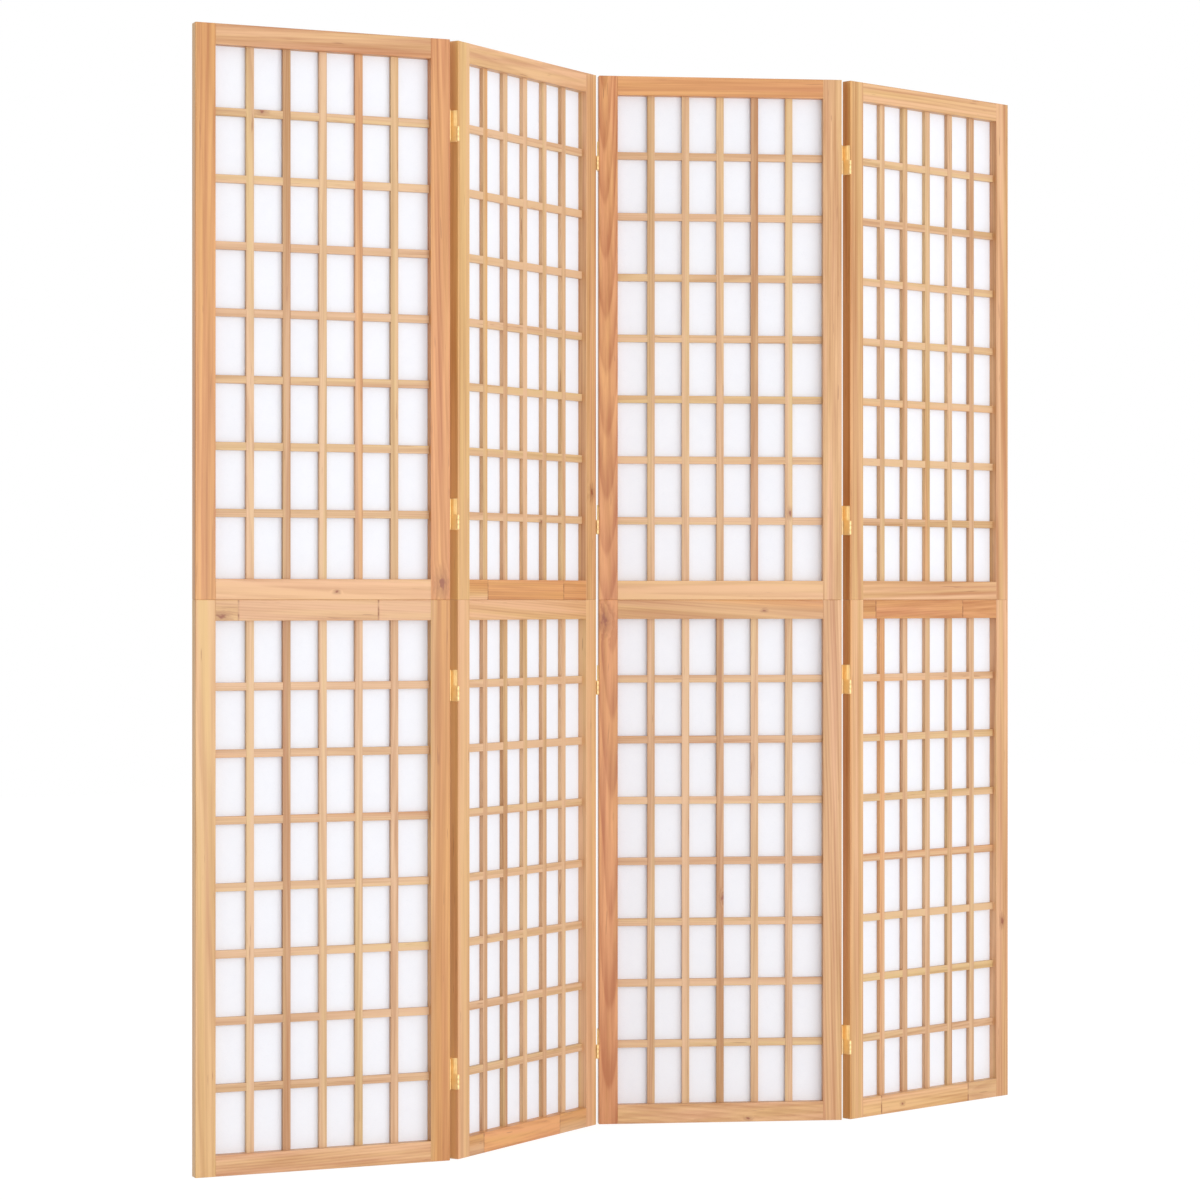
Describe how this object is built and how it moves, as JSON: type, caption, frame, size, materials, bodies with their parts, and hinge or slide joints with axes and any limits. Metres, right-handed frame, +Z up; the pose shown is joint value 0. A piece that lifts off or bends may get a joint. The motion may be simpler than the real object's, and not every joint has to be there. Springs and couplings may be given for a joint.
{
  "type": "shoji folding screen",
  "caption": "Free-standing folding room divider: softwood frames with a strip lattice over white paper, joined edge to edge by two-way brass hinges so it folds flat either way.",
  "frame": {"origin": "on the floor, at the middle of the standing screen's box", "axes": "+X runs from the outer edge of panel 1 to the outer edge of panel 4, -Y is the lattice side, +Z is up"},
  "size_m": [1.5436, 0.203, 1.7003],
  "materials": {
    "frame_wood": "clear satin lacquer on sawn and planed softwood",
    "strip_wood": "clear satin lacquer on planed softwood strips",
    "paper": "matt white translucent screen paper",
    "brass": "brass-plated sheet steel, satin"
  },
  "bodies": {
    "panel_1": {"panel_1_upper_frame": "frame_wood", "panel_1_upper_lattice": "strip_wood", "panel_1_upper_paper": "paper", "panel_1_lower_frame": "frame_wood", "panel_1_lower_lattice": "strip_wood", "panel_1_lower_paper": "paper", "hinge_12_1_left_leaf": "brass", "hinge_12_2_left_leaf": "brass", "hinge_12_3_left_leaf": "brass", "hinge_12_4_left_leaf": "brass"},
    "links_12": {"hinge_12_1_link": "brass", "hinge_12_2_link": "brass", "hinge_12_3_link": "brass", "hinge_12_4_link": "brass"},
    "panel_2": {"panel_2_upper_frame": "frame_wood", "panel_2_upper_lattice": "strip_wood", "panel_2_upper_paper": "paper", "panel_2_lower_frame": "frame_wood", "panel_2_lower_lattice": "strip_wood", "panel_2_lower_paper": "paper", "hinge_12_1_right_leaf": "brass", "hinge_12_2_right_leaf": "brass", "hinge_12_3_right_leaf": "brass", "hinge_12_4_right_leaf": "brass", "hinge_23_1_left_leaf": "brass", "hinge_23_2_left_leaf": "brass", "hinge_23_3_left_leaf": "brass", "hinge_23_4_left_leaf": "brass"},
    "links_23": {"hinge_23_1_link": "brass", "hinge_23_2_link": "brass", "hinge_23_3_link": "brass", "hinge_23_4_link": "brass"},
    "panel_3": {"panel_3_upper_frame": "frame_wood", "panel_3_upper_lattice": "strip_wood", "panel_3_upper_paper": "paper", "panel_3_lower_frame": "frame_wood", "panel_3_lower_lattice": "strip_wood", "panel_3_lower_paper": "paper", "hinge_23_1_right_leaf": "brass", "hinge_23_2_right_leaf": "brass", "hinge_23_3_right_leaf": "brass", "hinge_23_4_right_leaf": "brass", "hinge_34_1_left_leaf": "brass", "hinge_34_2_left_leaf": "brass", "hinge_34_3_left_leaf": "brass", "hinge_34_4_left_leaf": "brass"},
    "links_34": {"hinge_34_1_link": "brass", "hinge_34_2_link": "brass", "hinge_34_3_link": "brass", "hinge_34_4_link": "brass"},
    "panel_4": {"panel_4_upper_frame": "frame_wood", "panel_4_upper_lattice": "strip_wood", "panel_4_upper_paper": "paper", "panel_4_lower_frame": "frame_wood", "panel_4_lower_lattice": "strip_wood", "panel_4_lower_paper": "paper", "hinge_34_1_right_leaf": "brass", "hinge_34_2_right_leaf": "brass", "hinge_34_3_right_leaf": "brass", "hinge_34_4_right_leaf": "brass"}
  },
  "joints": [
    {"name": "front_pins_12", "type": "hinge", "parent": "panel_2", "child": "links_12", "pos_m": [-0.36357, -0.09278, 0.85], "axis": [0, 0, 1], "range_deg": [0, 180]},
    {"name": "back_pins_12", "type": "hinge", "parent": "links_12", "child": "panel_1", "pos_m": [-0.37218, -0.07473, 0.85], "axis": [0, 0, 1], "range_deg": [-144.8, 35.2]},
    {"name": "back_pins_23", "type": "hinge", "parent": "panel_2", "child": "links_23", "pos_m": [-0.00721, 0.09945, 0.85], "axis": [0, 0, 1], "range_deg": [0, 180]},
    {"name": "front_pins_23", "type": "hinge", "parent": "links_23", "child": "panel_3", "pos_m": [0.0014, 0.0814, 0.85], "axis": [0, 0, 1], "range_deg": [-128.2, 51.8]},
    {"name": "back_pins_34", "type": "hinge", "parent": "panel_3", "child": "links_34", "pos_m": [0.37283, -0.07977, 0.85], "axis": [0, 0, -1], "range_deg": [-143.3, 36.7]},
    {"name": "front_pins_34", "type": "hinge", "parent": "links_34", "child": "panel_4", "pos_m": [0.37645, -0.09945, 0.85], "axis": [0, 0, -1], "range_deg": [0, 180]}
  ]
}
